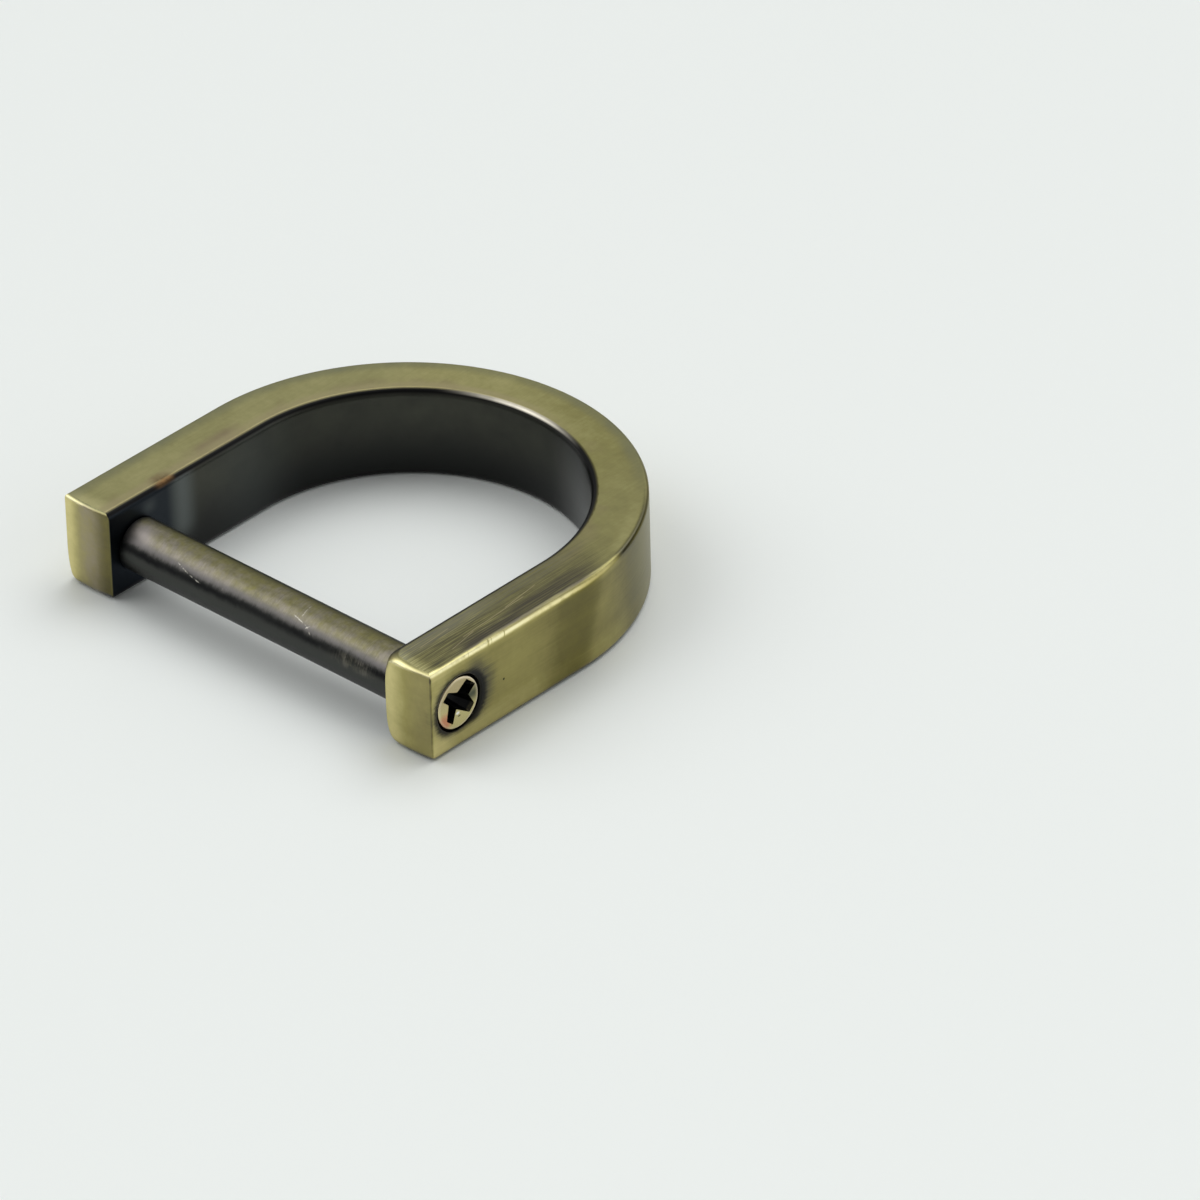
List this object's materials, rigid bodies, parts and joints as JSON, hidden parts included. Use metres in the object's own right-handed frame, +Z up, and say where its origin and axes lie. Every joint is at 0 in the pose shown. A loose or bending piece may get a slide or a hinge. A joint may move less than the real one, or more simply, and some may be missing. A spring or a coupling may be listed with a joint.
{
  "type": "d ring with screw bar",
  "caption": "Horseshoe-shaped D ring with a flat-faced band, straight legs and a removable round bar, screwed in flush across the open end, for straps and bag handles.",
  "frame": {"origin": "centre of the ring's plan, on the flat face that it rests on", "axes": "+X along the screw bar towards its head, +Y from the leg ends to the crown of the arc, +Z up from the flat face"},
  "size_m": [0.0332, 0.031, 0.0067],
  "materials": {
    "antique_brass": "brushed antique brass plating with dark patina on the inner walls and bright rubbed outer edges",
    "bar_brass": "fine-turned antique brass plating, brighter on the head"
  },
  "bodies": {
    "ring": {"ring_frame": "antique_brass"},
    "bar": {"screw_bar": "bar_brass"}
  },
  "joints": [
    {"name": "bar_unscrew", "type": "slide", "parent": "ring", "child": "bar", "axis": [1, 0, 0], "range_m": [0, 0.034]}
  ]
}
